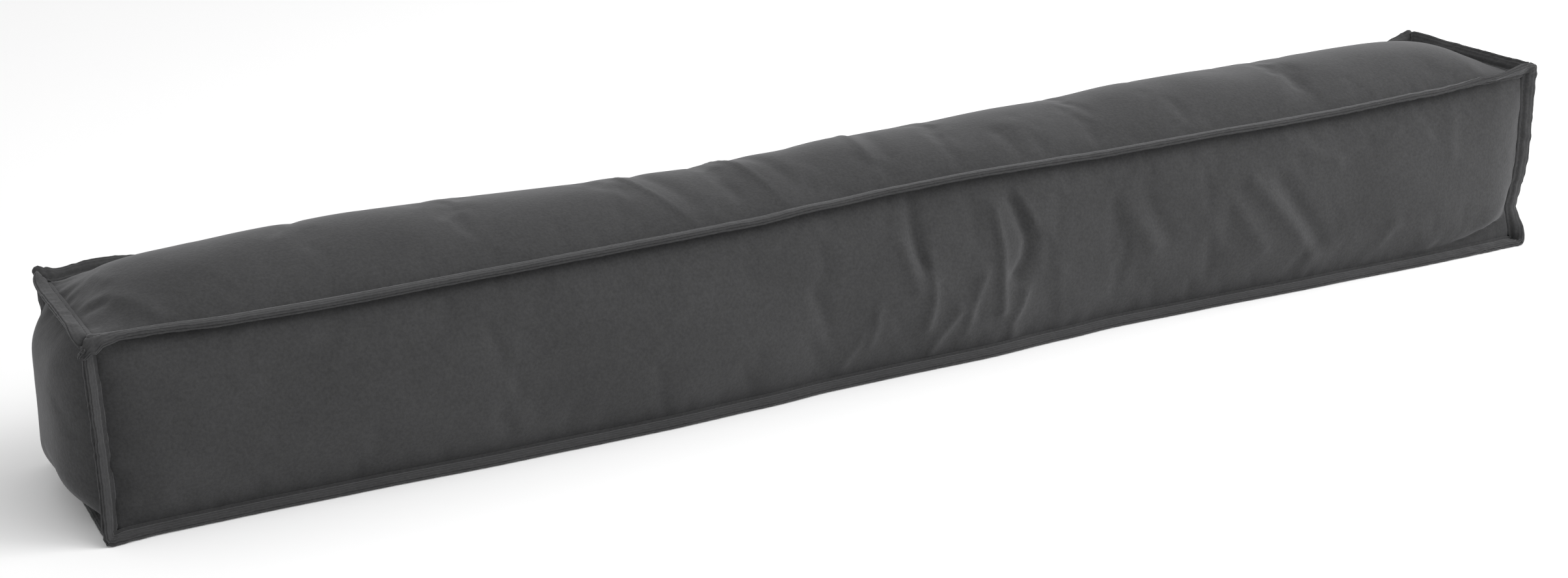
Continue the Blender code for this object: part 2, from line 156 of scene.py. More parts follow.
# Folds, in millimetres: the rise (below 0 for a hollow), the half width, the power (2 is a soft
# fold and 1 a sharp crease) and the line of places, each along the length and across the panel
FRONT_FOLDS = (
    (-3.4, 4.5, 1.7, ((9, 98), (8, 80), (9, 68), (13, 58))),
    (1.8, 5.0, 1.8, ((-2, 76), (3, 60), (6, 48))),
    (2.6, 3.8, 1.4, ((15, 64), (16, 50), (16, 40), (13, 24))),
    (2.4, 3.6, 1.4, ((33, 30), (27, 22), (21, 14), (16, 2))),
    (2.2, 3.6, 1.5, ((49, 48), (44, 38), (41, 28), (39, 14))),
    (2.8, 3.6, 1.4, ((60, 82), (62, 60), (61, 41), (62, 24))),
    (2.0, 3.2, 1.4, ((76, 92), (81, 82), (85, 72))),
    (-4.4, 5.0, 1.7, ((73, 86), (77, 75), (81, 62), (78, 51), (72, 43))),
    (2.4, 3.6, 1.4, ((77, 33), (74, 23), (70, 14), (72, 3))),
    (1.6, 5.0, 2.0, ((99, 40), (103, 10))),
    (1.5, 3.4, 1.5, ((-19, 40), (-20, 30), (-23, 20))),
    (1.3, 3.4, 1.5, ((-28, 26), (-32, 20), (-40, 9))),
    (1.4, 6.0, 1.8, ((147, 74), (155, 60), (165, 44))),
    (-1.4, 6.0, 1.9, ((163, 70), (175, 48))),
    (1.3, 5.5, 1.9, ((223, 58), (231, 45), (240, 32))),
    (1.5, 5.5, 1.9, ((257, 99), (275, 85), (295, 75))),
    (2.2, 6.0, 1.7, ((235, 72), (249, 55), (263, 39), (278, 19))),
    (-2.2, 6.5, 1.9, ((255, 68), (267, 48), (280, 28))),
    (1.7, 5.0, 1.8, ((336, 28), (327, 15), (320, 7))),
    (1.0, 5.5, 2.0, ((357, 98), (364, 83))),
    (0.9, 5.0, 2.0, ((384, 92), (380, 66))),
    (1.8, 3.2, 1.5, ((424, 101), (430, 96), (436, 90))),
    (-1.8, 3.0, 1.5, ((433, 102), (439, 88))),
    (1.4, 2.6, 1.4, ((-439, 97), (-430, 99))),
    (-1.2, 2.4, 1.4, ((-440, 94), (-426, 95))),
    (-4.5, 2.4, 1.2, ((345, 1), (378, 3), (400, 6), (420, 10), (432, 13), (441, 17))),
    (2.2, 5.5, 1.8, ((360, 11), (400, 14), (419, 18), (434, 24))),
)
TOP_FOLDS = (
    (1.1, 2.2, 1.3, ((-137, 12), (-132, -12), (-126, -30), (-118, -46), (-112, -52))),
    (-1.3, 6.0, 1.8, ((-126, 26), (-122, 0), (-112, -34))),
    (1.0, 2.4, 1.3, ((-76, 26), (-70, 0), (-68, -22), (-64, -42), (-61, -50))),
    (-1.1, 5.5, 1.8, ((-64, 20), (-56, -10), (-50, -42))),
    (0.8, 3.0, 1.5, ((4, 18), (0, -14), (0, -30))),
    (-1.0, 6.0, 1.9, ((12, 14), (10, -28))),
    (-1.5, 6.0, 1.9, ((86, -25), (88, -50))),
    (-1.7, 8.0, 2.0, ((298, -12), (285, -50))),
    (-2.2, 4.0, 1.6, ((-438, -20), (-432, -21), (-427, -22))),
    (1.6, 4.5, 1.7, ((-434, -12), (-427, -17), (-420, -26), (-411, -38), (-402, -48))),
    (1.0, 3.6, 1.7, ((-424, 16), (-421, -2))),
)
FOLD_REACH = 4  # half widths from its line where a fold has gone
FOLD_FADE = 0.5  # power of the crown's share by which folds fade towards the seams
LUMP_PITCH = 0.042

# Cushion mesh
CELL = 0.0036  # face size before the last subdivision
CELLS_ACROSS = 30
SEAM_CREASE = 0.7
FIRST_FRAME = 1
LAST_FRAME = 20

# Puckers where the panels are gathered into their seams
PUCKER_REACH = 0.011
PUCKER_PITCH = 0.008
PUCKER_LENGTH = 3 * PUCKER_PITCH  # how far from its seam a pucker keeps its course
PUCKER_GONE = 0.02  # share below which the puckers have faded out
PUCKER_SEED = 7
PATCH_PITCH = 0.060  # puckers come and go in patches
PATCH_MIDDLE = 0.5
PATCH_LEAST = 0.15
PATCH_SEEDS = (3.0, 0.5)
# place along the length in millimetres, strength of the puckers there
PUCKER_STRENGTH = ((-442, 3.2), (-400, 1.5), (-350, 0.7), (300, 0.7), (400, 1.0), (442, 1.5))

# Flange section: share of the width, half thickness in metres
FLANGE_STEP = 0.0020
FLANGE_SECTION = ((-0.09, 0.0016), (0.0, 0.0015), (0.08, 0.0010), (0.15, 0.0007), (0.22, 0.0011),
                  (0.32, 0.00155), (0.45, 0.00175), (0.53, 0.00152), (0.61, 0.00178),
                  (0.71, 0.00176), (0.77, 0.00152), (0.83, 0.00172))
STITCH_PLACE = 0.15  # share of the width where the thread runs
STITCH_SIDES = 6
STITCH_RINGS = 4
BAR_END_LEAST = 0.45  # share of its thickness that a cross flange has at its very ends
BAR_END_STATIONS = 1.5  # stations over which it would gain its whole thickness
PROFILE_RADIUS = 0.25  # of the round bar whose points are then moved to the flange's section
EDGE_POINTS = 22
EDGE_SQUARENESS = 0.10
# Angle round the edge in degrees, depth of the groove in metres, half width in degrees
EDGE_GROOVES = ((0.0, 0.0010, 10.0), (50.0, 0.00060, 8.5), (-50.0, 0.00060, 8.5))
# The two layers of this flange have parted: how deep, at which share of its width
PARTED_FLANGE = "left_top"
PARTING_DEPTH = 0.0016
PARTING_PLACE = 0.71
PARTING_SPREAD = 0.045
WRINKLE_PITCH = 0.0045
WRINKLE_ONSET = 2  # a wrinkle grows by this times the share of the width, up to 1
WRINKLE_SHARPNESS = 0.08  # the smaller, the finer the creases between two wrinkles
WRINKLE_DRIFT = 0.014  # how far across a flange a wrinkle keeps its course
# place along the length in millimetres, strength of the wrinkles there
WRINKLE_STRENGTH = ((-442, 1.6), (-400, 1.0), (-340, 0.6), (300, 0.6), (400, 1.2), (442, 2.2))

# Camera, from the photograph's vanishing lines: angles in degrees
CAMERA_AZIMUTH = -26.8
CAMERA_ELEVATION = 17.5
CAMERA_DISTANCE = 1.5293
CAMERA_YAW = 1.46
CAMERA_PITCH = -0.71
CAMERA_ROLL = -2.1
CAMERA_LENS = 60.95  # millimetres
SENSOR_WIDTH = 36.0
AIM_HEIGHT = 0.0545

# Lights: size, place, and the point that each is turned to
MAIN_LIGHT = ((2.4, 1.6), (1.15, -1.1, 2.0), (0, 0, 0))
SIDE_LIGHT = ((1.2, 1.2), (1.7, -1.1, 0.9), (0.2, 0, 0.05))

# Noise patterns: spots to the metre, detail, roughness
GRAIN = (620.0, 2.0, 0.6)
FLECK = (210.0, 3.0, 0.55)
BRUSHED = (17.0, 4.0, 0.6)
TWIST = (2400.0, 1.0, 0.5)
UNEVENNESS = (1.5, 2.0, 0.5)
NOISE_RANGE = (0.3, 0.7)  # where nearly all of a pattern's values lie
# What a pattern's two extremes do to a colour or to the roughness
GRAIN_SHADES = (0.84, 1.16)
FLECK_SHADES = (0.98, 1.02)
BRUSHED_SHADES = (0.88, 1.10)
TWIST_SHADES = (0.8, 1.2)
FLOOR_SHADES = (0.995, 1.0)
VELVET_ROUGHNESS = (0.82, 0.98)


def size_property(name, description, default, least):
    """A length that a user may change."""
    return bpy.props.FloatProperty(name=name, description=description, default=default,
                                   min=least, unit="LENGTH")


class CoverSettings(bpy.types.PropertyGroup):
    """Filling and folds of the cushion."""

    pressure: bpy.props.FloatProperty(
        name="Pressure", description="How hard the filling presses on the cover",
        default=4.0, min=0.0)
    start_size: bpy.props.FloatProperty(
        name="Starting size", description="Share of its crowns that the cover has before it swells",
        default=0.97, min=0.5, max=1.0, subtype="FACTOR")
    slack: bpy.props.FloatProperty(
        name="Slack", description="How much larger the cloth is than the filling",
        default=0.003, min=0.0, max=0.2, subtype="FACTOR")
    swell_cap: size_property("Most swelling", "How far the filling may push the cover", 0.004, 0.0)
    lumps: size_property("Lumps", "Height of the soft unevenness of the filling", 0.0006, 0.0)
    fold_depth: bpy.props.FloatProperty(
        name="Fold depth", description="Scale of every fold in the panels",
        default=1.0, min=0.0, max=2.0)
    pucker: size_property("Pucker", "Height of the gathers beside the seams", 0.00045, 0.0)


class FlangeSettings(bpy.types.PropertyGroup):
    """Sewn flanges along the edges."""

    width: size_property("Width", "Width of a flange from its seam to its edge", 0.009, 0.002)
    waviness: bpy.props.FloatProperty(
        name="Waviness", description="How far a flange sways up and down, as an angle",
        default=math.radians(3.5), min=0.0, subtype="ANGLE")
    wrinkle: size_property("Wrinkle", "Height of the small wrinkles across a flange", 0.00018, 0.0)
    gather: size_property(
        "Gather", "Height of the crumples where a flange turns a corner", 0.0012, 0.0)


class StitchSettings(bpy.types.PropertyGroup):
    """Topstitching at the foot of the flanges."""

    pitch: size_property("Pitch", "From one stitch to the next", 0.0034, 0.001)
    length: size_property("Length", "Length of thread that shows in a stitch", 0.0025, 0.0005)
    thread: size_property("Thread", "Thickness of the thread", 0.00045, 0.0001)


class VelvetSettings(bpy.types.PropertyGroup):
    """Colour and pile of the velvet."""

    colour: bpy.props.FloatVectorProperty(
        name="Colour", description="Colour of the pile", subtype="COLOR", size=3,
        default=(0.0345, 0.0345, 0.0353), min=0.0, max=1.0)
    thread_colour: bpy.props.FloatVectorProperty(
        name="Thread colour", description="Colour of the sewing thread", subtype="COLOR", size=3,
        default=(0.018, 0.018, 0.0185), min=0.0, max=1.0)
    sheen: bpy.props.FloatProperty(
        name="Sheen", description="Light that the pile scatters at a grazing angle",
        default=0.23, min=0.0, max=1.0, subtype="FACTOR")
    grain: size_property("Grain", "Height of the pile's fine grain", 0.00022, 0.0)


class StageSettings(bpy.types.PropertyGroup):
    """Floor and studio lights."""

    floor_size: size_property("Floor size", "Length and width of the floor", 40.0, 2.0)
    floor_colour: bpy.props.FloatVectorProperty(
        name="Floor colour", description="Colour of the floor", subtype="COLOR", size=3,
        default=(0.96, 0.96, 0.96), min=0.0, max=1.0)
    surround: bpy.props.FloatProperty(
        name="Surround", description="Brightness of the white studio round the object",
        default=0.78, min=0.0)
    key_power: bpy.props.FloatProperty(
        name="Main light", description="Power of the large light above", default=30.0,
        min=0.0, unit="POWER")
    side_power: bpy.props.FloatProperty(
        name="Side light", description="Power of the light at the right", default=24.0,
        min=0.0, unit="POWER")


def eased(share):
    """A share from 0 to 1 that starts and ends softly."""
    return share * share * (3 - 2 * share)


def blended(rows, columns, name, place):
    """Value of a table's named column at a place in its first column, smoothly blended."""
    column = columns.index(name)
    place = min(max(place, rows[0][0]), rows[-1][0])
    for near, far in zip(rows, rows[1:]):
        if place <= far[0]:
            ease = eased((place - near[0]) / (far[0] - near[0]))
            return near[column] + (far[column] - near[column]) * ease
    return rows[-1][column]


def section(name, along):
    """Value of one column of the section table at a place on the length."""
    return blended(SECTIONS, SECTION_COLUMNS, name, along / MM)


def upright(name, end, height):
    """Value of one column for the upright seam at the left (-1) or right (1) end."""
    rows = LEFT_UPRIGHT if end < 0 else RIGHT_UPRIGHT
    return blended(rows, UPRIGHT_COLUMNS, name, height / MM)


def straight(rows, place):
    """Value of the second column at a place in the first, joined by straight lines."""
    for near, far in zip(rows, rows[1:]):
        if place <= far[0]:
            share = max(place - near[0], 0.0) / (far[0] - near[0])
            return near[1] + (far[1] - near[1]) * share
    return rows[-1][1]


def seam(along, side, level):
    """Sharp corner of the cover: side -1 is the front and 1 the back, level -1 is the bottom."""
    if level > 0:
        out = section("front_out", along)
        drop = section("front_drop" if side < 0 else "back_drop", along)
        height = BOTTOM_SEAM_HEIGHT + HEIGHT - drop * MM
    else:
        out = section("foot_out", along)
        height = BOTTOM_SEAM_HEIGHT
    if side > 0:
        out *= BACK_SHARE
    return Vector((along, side * (DEPTH / 2 + out * MM), height))


def end_shift(along, across, height):
    """How far along X a point follows the upright seam of the nearer end."""
    end = math.copysign(1, along)
    from_land = max(LENGTH / 2 - abs(along) - SEAM_LAND, 0.0)
    near_end = max(1 - from_land / END_SHIFT_REACH, 0.0)
    return end * upright("out", end, height) * MM * near_end ** END_SHIFT_POWER * (1 - across) / 2


def box_point(along, across, upward):
    """Point of the cover before its panels are crowned; across and upward run from -1 to 1."""
    low = seam(along, -1, -1).lerp(seam(along, 1, -1), (across + 1) / 2)
    high = seam(along, -1, 1).lerp(seam(along, 1, 1), (across + 1) / 2)
    point = low.lerp(high, (upward + 1) / 2)
    point.x += end_shift(along, across, point.z)
    return point


def crown_share(distance, reach, power=CROWN_POWER):
    """Share of a panel's crown at a distance from its seam."""
    share = min(max(distance / reach, 0.0), 1.0)
    return 1 - (1 - share) ** power


def panel_share(place, half_size, reach=CROWN_REACH, power=CROWN_POWER):
    """Share of the crown at a place on a panel, given from its middle, for one direction."""
    return crown_share(half_size - SEAM_LAND - abs(place), reach, power)


def filled_share(along, height):
    """1 where the front panel is filled, falling to 0 in its empty bottom right corner."""
    start, end = Vector(EMPTY_CORNER_FROM) * MM, Vector(EMPTY_CORNER_TO) * MM
    if along < start.x:
        return 1.0
    line = start.y + (end.y - start.y) * (along - start.x) / (end.x - start.x)
    return eased(min(max((height - line) / EMPTY_CORNER_EDGE, 0.0), 1.0))


def is_empty(cover):
    """Whether a place on the cover is in the unfilled corner of the front panel."""
    front = cover.y < 0 and at_ends(cover)[1]
    return front and filled_share(cover.x, (cover.z + 1) * HEIGHT / 2) < 0.5


def at_ends(cover):
    """Which of the three directions of the cover a place is at an end of."""
    return (abs(cover.x) > LENGTH / 2 - LENGTH_TOLERANCE, abs(cover.y) > 1 - SHARE_TOLERANCE,
            abs(cover.z) > 1 - SHARE_TOLERANCE)


def crowned(cover, size):
    """Point of the cushion for a place on the cover, with its crowns at a share of their size."""
    point = box_point(cover.x, cover.y, cover.z)
    ends = at_ends(cover)
    if sum(ends) > 1:
        inward = SEAM_LAND / 2 * (CORNER_BLUNTING if sum(ends) == 3 else 1.0)
        for axis in range(3):
            point[axis] -= math.copysign(inward, cover[axis]) * ends[axis]
        return point
    half_length, half_depth, half_height = LENGTH / 2, DEPTH / 2, HEIGHT / 2
    if ends[0]:
        crown = LEFT_END_CROWN if cover.x < 0 else RIGHT_END_CROWN
        height = (cover.z + 1) * half_height - SEAM_LAND
        share = panel_share(cover.y * half_depth, half_depth, END_CROWN_REACH)
        share *= crown_share(HEIGHT - 2 * SEAM_LAND - height, END_HEAD_REACH)
        share *= crown_share(height, END_FOOT_REACH)
        share *= 1 + END_LEAN * (0.5 - height / HEIGHT)
        point.x += math.copysign(crown * share * size, cover.x)
        return point
    if ends[1]:
        power = CROWN_POWER if cover.y > 0 else FRONT_CROWN_POWER
        share = panel_share(cover.x, half_length, power=power)
        share *= panel_share(cover.z * half_height, half_height, power=power)
        if cover.y > 0:
            point.y += BACK_CROWN * share * size
            return point
        height = (cover.z + 1) * half_height
        crown = section("front_crown", cover.x) * MM * filled_share(cover.x, height)
        point.y -= crown * share * size
        return point
    share = panel_share(cover.x, half_length) * panel_share(cover.y * half_depth, half_depth)
    if cover.z < 0:
        point.z = max(point.z - BOTTOM_CROWN * share, FLOOR_CLEARANCE)
        return point
    point.z += section("top_crown", cover.x) * MM * share * size
    return point


def spaced(count, land):
    """Places from -1 to 1 with a narrow step of one land beside each end."""
    inner = [land - 1 + (2 - 2 * land) * step / count for step in range(count + 1)]
    return [-1.0] + inner + [1.0]


def edges_along(mesh, axis):
    """Edges of a box that run along one axis."""
    return [edge for edge in mesh.edges
            if abs((edge.verts[0].co - edge.verts[1].co).normalized()[axis]) > PARALLEL]


def cover_mesh(size):
    """The cover as a grid on a box; each vertex keeps its place on the cover as an attribute."""
    lengthways = spaced(round(LENGTH / CELL), SEAM_LAND / (LENGTH / 2))
    crossways = spaced(CELLS_ACROSS, SEAM_LAND / (DEPTH / 2))
    mesh = bmesh.new()
    bmesh.ops.create_cube(mesh, size=2.0)
    for axis, places in enumerate((lengthways, crossways, crossways)):
        bmesh.ops.subdivide_edges(mesh, edges=edges_along(mesh, axis), cuts=len(places) - 2,
                                  use_grid_fill=True)
    layer = mesh.verts.layers.float_vector.new("cover")
    for vert in mesh.verts:
        steps = [round((value + 1) / 2 * (len(places) - 1))
                 for value, places in zip(vert.co, (lengthways, crossways, crossways))]
        cover = Vector((lengthways[steps[0]] * LENGTH / 2, crossways[steps[1]],
                        crossways[steps[2]]))
        vert[layer] = cover
        vert.co = crowned(cover, size) + CENTRE
    crease = mesh.edges.layers.float.new("crease_edge")
    for edge in mesh.edges:
        if all(sum(at_ends(vert[layer])) > 1 for vert in edge.verts):
            edge[crease] = SEAM_CREASE
    return mesh


def add_object(name, data):
    """A new object in the scene."""
    thing = bpy.data.objects.new(name, data)
    bpy.context.scene.collection.objects.link(thing)
    return thing


def add_piece(name, mesh, material):
    """Turn a modelled mesh into a smooth piece of the scene."""
    bmesh.ops.recalc_face_normals(mesh, faces=mesh.faces)
    for face in mesh.faces:
        face.smooth = True
    data = bpy.data.meshes.new(name)
    mesh.to_mesh(data)
    mesh.free()
    data.materials.append(material)
    return add_object(name, data)


def apply_modifiers(piece):
    """Make what the piece's modifiers show its own mesh."""
    graph = bpy.context.evaluated_depsgraph_get()
    shown = bpy.data.meshes.new_from_object(piece.evaluated_get(graph), depsgraph=graph)
    piece.modifiers.clear()
    piece.data = shown


def inflate(piece, settings):
    """Blow the cover up against its seams with the cloth solver, with a cap on the movement."""
    places = [Vector(item.vector) for item in piece.data.attributes["cover"].data]
    sewn = [index for index, place in enumerate(places)
            if sum(at_ends(place)) > 1 or is_empty(place)]
    pins = piece.vertex_groups.new(name="seams")
    pins.add(sewn, 1.0, "REPLACE")
    before = [vert.co.copy() for vert in piece.data.vertices]
    cloth = piece.modifiers.new("filling", "CLOTH")
    cloth.settings.vertex_group_mass = pins.name
    cloth.settings.use_pressure = True
    cloth.settings.uniform_pressure_force = settings.pressure
    cloth.settings.effector_weights.gravity = 0.0
    cloth.settings.shrink_min = -settings.slack
    cloth.point_cache.frame_start = FIRST_FRAME
    cloth.point_cache.frame_end = LAST_FRAME
    for step in range(FIRST_FRAME, LAST_FRAME + 1):
        bpy.context.scene.frame_set(step)
    graph = bpy.context.evaluated_depsgraph_get()
    swollen = [vert.co.copy() for vert in piece.evaluated_get(graph).data.vertices]
    piece.modifiers.clear()
    bpy.context.scene.frame_set(FIRST_FRAME)
    for vert, old, new in zip(piece.data.vertices, before, swollen):
        move = new - old
        if move.length > settings.swell_cap:
            move *= settings.swell_cap / move.length
        vert.co = old + move
        vert.co.z = max(vert.co.z, FLOOR_CLEARANCE)


def fold_rise(folds, along, across):
    """Rise of a panel at one place that its folds add up to."""
    here = Vector((along / MM, across / MM))
    total = 0.0
    for rise, half_width, power, line in folds:
        nearest = math.inf
        for start, end in zip(line, line[1:]):
            start, run = Vector(start), Vector(end) - Vector(start)
            share = min(max((here - start).dot(run) / run.length_squared, 0.0), 1.0)
            nearest = min(nearest, (here - start - run * share).length)
        if nearest < FOLD_REACH * half_width:
            total += rise * math.exp(-(nearest / half_width) ** power)
    return total * MM


def seam_distance(cover):
    """Distance on a panel from the nearest seam, and the place along that seam."""
    ends = at_ends(cover)
    flat = (cover.x, cover.y * DEPTH / 2, cover.z * HEIGHT / 2)
    halves = (LENGTH / 2, DEPTH / 2, HEIGHT / 2)
    distance, along = min(
        (halves[axis] - abs(flat[axis]), sum(flat[other] for other in range(3) if other != axis))
        for axis in range(3) if not ends[axis])
    return distance, along


def pucker(cover, height):
    """Small gathers at right angles to the nearest seam, which come and go along it."""
    distance, along = seam_distance(cover)
    fade = math.exp(-(distance / PUCKER_REACH) ** 2) * min(distance / SEAM_LAND, 1.0)
    if fade < PUCKER_GONE:
        return 0.0
    wave = noise.noise(Vector((along / PUCKER_PITCH, distance / PUCKER_LENGTH,
                               cover.y + PUCKER_SEED)))
    shift, seed = PATCH_SEEDS
    patch = PATCH_MIDDLE + noise.noise(Vector((along / PATCH_PITCH, cover.z + shift, seed)))
    strength = straight(PUCKER_STRENGTH, cover.x / MM)
    return height * strength * wave * 2 * max(patch, PATCH_LEAST) * fade


def lump(cover, height):
    """Soft unevenness of the filling, which fades towards the seams."""
    distance, _ = seam_distance(cover)
    place = Vector((cover.x, cover.y * DEPTH / 2, cover.z * HEIGHT / 2)) / LUMP_PITCH
    return 2 * height * noise.noise(place) * crown_share(distance, CROWN_REACH)


def panel_rise(cover, settings):
    """Rise of the cover at one place from its lumps, folds and puckers."""
    ends = at_ends(cover)
    if sum(ends) > 1:
        return 0.0
    rise = pucker(cover, settings.pucker) + lump(cover, settings.lumps)
    if ends[0]:
        return rise
    share = panel_share(cover.x, LENGTH / 2)
    if ends[1] and cover.y < 0:
        folds, across = FRONT_FOLDS, (cover.z + 1) * HEIGHT / 2
        share *= panel_share(cover.z * HEIGHT / 2, HEIGHT / 2)
    elif ends[2] and cover.z > 0:
        folds, across = TOP_FOLDS, cover.y * DEPTH / 2
        share *= panel_share(across, DEPTH / 2)
    else:
        return rise
    return rise + fold_rise(folds, cover.x, across) * settings.fold_depth * share ** FOLD_FADE


def fold_cover(piece, settings):
    """Raise and sink the cover along its normals for its lumps, folds and puckers."""
    places = [Vector(item.vector) for item in piece.data.attributes["cover"].data]
    normals = [vert.normal.copy() for vert in piece.data.vertices]
    for vert, place, normal in zip(piece.data.vertices, places, normals):
        vert.co += normal * panel_rise(place, settings)
        vert.co.z = max(vert.co.z, FLOOR_CLEARANCE)


def make_cushion(settings, material):
    """The filled cushion: blown up, subdivided and then folded."""
    piece = add_piece("cushion_cover", cover_mesh(settings.start_size), material)
    inflate(piece, settings)
    rounding = piece.modifiers.new("rounding", "SUBSURF")
    rounding.levels = 1
    rounding.render_levels = 1
    apply_modifiers(piece)
    fold_cover(piece, settings)
    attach(piece, "root")
    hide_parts("cushion")


# One place on a flange: where it is sewn, the ways it leaves the seam and then runs, its width, and
# how far it is crumpled and parted there
Station = namedtuple("Station", "root bisector direction width crumple parting")


def flange_direction(panel_normal, outward, tilt):
    """Direction of a flange between its panel's normal and the way out in the panel's plane."""
    angle = math.radians(tilt)
    return (panel_normal * math.cos(angle) + outward * math.sin(angle)).normalized()


def corner_lobe(side, end, level):
    """The table's row for the flange at one corner of a ring, with its direction."""
    row = next(row for row in CORNER_LOBES if row[:3] == (side, end, level))
    lobe = dict(zip(LOBE_COLUMNS, row))
    lobe["direction"] = Vector((lobe["along"], lobe["across"], lobe["up"])).normalized()
    return lobe


def crumple(lobe, from_corner, settings):
    """How far the edge of a flange is crumpled at a distance from a corner, in widths."""
    fade = math.exp(-(from_corner / GATHER_REACH) ** 2)
    wave = math.sin(math.tau * from_corner / GATHER_PITCH)
    return settings.gather * lobe["gather"] * fade * wave


def ear_reach(reach, turned, from_corner):
    """Width of a flange near a corner, in widths: an ear that is rounded at its tip."""
    tip = math.exp(-(from_corner / EAR_TIP) ** 2)
    return (1 + (reach - 1) * turned) * (1 - EAR_ROUNDING * tip)


def side_places(length, width):
    """Places along one side of a ring, closer together near its corners, without its start."""
    near = [place * width for place in CORNER_PLACES]
    inner = length - 2 * near[-1]
    count = round(inner / FLANGE_STEP)
    middle = [near[-1] + inner * step / count for step in range(1, count)]
    return near[1:] + middle + [length - place for place in reversed(near)]


def sway(corner, settings, seed):
    """Tilt that a flange adds at one place, in degrees, so that it runs in long soft waves."""
    long_wave = noise.noise(Vector((corner.x / LONG_SWAY_PITCH, corner.y / LONG_SWAY_PITCH + seed,
                                    corner.z / LONG_SWAY_RISE)))
    short_wave = noise.noise(Vector((corner.x / SHORT_SWAY_PITCH, corner.y / SHORT_SWAY_PITCH,
                                     corner.z / SHORT_SWAY_PITCH + seed)))
    return math.degrees(settings.waviness) * (LONG_SWAY * long_wave + SHORT_SWAY * short_wave)


def ring_tilt(side, along, corner, from_level, to_level, settings):
    """Tilt of the flange round a panel at one place of a side that runs between two levels."""
    if from_level == -1 == to_level:
        return BOTTOM_TILT
    if from_level == to_level:
        tilt = section("front_tilt" if side < 0 else "back_tilt", along)
    elif side < 0:
        tilt = upright("tilt", math.copysign(1, along), corner.z)
    else:
        tilt = BACK_UPRIGHT_TILTS[round(math.copysign(1, along))]
    return tilt + sway(corner, settings, side)


def ring_stations(side, settings):
    """Close stations of the flange round a panel."""
    half = LENGTH / 2
    # each side: from along and level, to along and level, its way out, and those beside it
    walk = ((-half, -1, half, -1, -UP, -RIGHT, RIGHT), (half, -1, half, 1, RIGHT, -UP, UP),
            (half, 1, -half, 1, UP, RIGHT, -RIGHT), (-half, 1, -half, -1, -RIGHT, UP, -UP))
    normal = FRONT if side < 0 else -FRONT
    stations = []
    for from_along, from_level, to_along, to_level, outward, before, after in walk:
        length = LENGTH if from_level == to_level else HEIGHT
        for place in side_places(length, settings.width):
            share = place / length
            along = from_along + (to_along - from_along) * share
            level = from_level + (to_level - from_level) * share
            corner = box_point(along, side, level)
            tilt = ring_tilt(side, along, corner, from_level, to_level, settings)
            direction = flange_direction(normal, outward, tilt)
            ahead = share > 0.5
            from_corner = min(place, length - place) / settings.width
            lobe = corner_lobe(side, math.copysign(1, to_along if ahead else from_along),
                               to_level if ahead else from_level)
            turn = lobe["level_turn" if from_level == to_level else "upright_turn"]
            turned = straight(CORNER_TURN, from_corner / turn)
            direction = direction.lerp(lobe["direction"], turned).normalized()
            width = settings.width * ear_reach(lobe["reach"], turned, from_corner)
            beside = (outward + (after if ahead else before)).normalized()
            bisector = (normal + outward.lerp(beside, turned ** 3).normalized()).normalized()
            lift = CORNER_LIFT * turned ** 3
            root = corner + bisector * (SEWN_GAP - SEAM_LAND / math.sqrt(2) + lift)
            stations.append(Station(root + CENTRE, bisector, direction, width,
                                    crumple(lobe, from_corner, settings), 0.0))
    return stations


def cross_stations(name, settings):
    """The same for a short flange along one edge of an end panel, between the two rings."""
    end = -1 if name.startswith("left") else 1
    level = 1 if name.endswith("top") else -1
    length = (box_point(end * LENGTH / 2, 1, level) - box_point(end * LENGTH / 2, -1, level)).length
    count = round((length - 2 * CROSS_END_CLEARANCE) / FLANGE_STEP)
    tilt, width = CROSS_FLANGES[name]
    bisector = (RIGHT * end + UP * level).normalized()
    stations = []
    for step in range(count + 1):
        place = CROSS_END_CLEARANCE + (length - 2 * CROSS_END_CLEARANCE) * step / count
        corner = box_point(end * LENGTH / 2, 2 * place / length - 1, level)
        angle = tilt + (sway(corner, settings, end) if level > 0 else 0.0)
        direction = flange_direction(RIGHT * end, UP * level, angle)
        side = 1 if place > length / 2 else -1
        from_corner = min(place, length - place) / settings.width
        turned = straight(CORNER_TURN, from_corner)
        lobe = corner_lobe(side, end, level)
        direction = direction.lerp(lobe["direction"], turned).normalized()
        reach = width * ear_reach(min(lobe["reach"], CROSS_REACH), turned, from_corner)
        root = corner + bisector * (SEWN_GAP - SEAM_LAND / math.sqrt(2))
        parting = PARTING_DEPTH * place / length if name == PARTED_FLANGE else 0.0
        stations.append(Station(root + CENTRE, bisector, direction, reach, 0.0, parting))
    return stations


def every_flange(settings):
    """Each flange's name, its stations, and whether it is a closed ring."""
    for name, side in (("front", -1), ("back", 1)):
        yield name, ring_stations(side, settings), True
    for name in CROSS_FLANGES:
        yield name, cross_stations(name, settings), False


def middle_point(station, across):
    """Point of a flange's middle layer at a distance from its root."""
    straight_up = FLANGE_ROOT * (1 - math.exp(-across / FLANGE_ROOT))
    point = station.root + station.bisector * straight_up
    point += station.direction * (across - straight_up)
    point.z = max(point.z, LOWEST_FLANGE)
    return point


def neighbours(stations, index, closed):
    """The stations before and after one, which is its own neighbour at an open end."""
    if closed:
        return stations[index - 1], stations[(index + 1) % len(stations)]
    return stations[max(index - 1, 0)], stations[min(index + 1, len(stations) - 1)]


def layer_normal(before, station, after, across):
    """Way out of a flange's upper side at a distance from its root."""
    forward = middle_point(after, across) - middle_point(before, across)
    outward = middle_point(station, across + MM / 2) - middle_point(station, across)
    return outward.cross(forward).normalized()


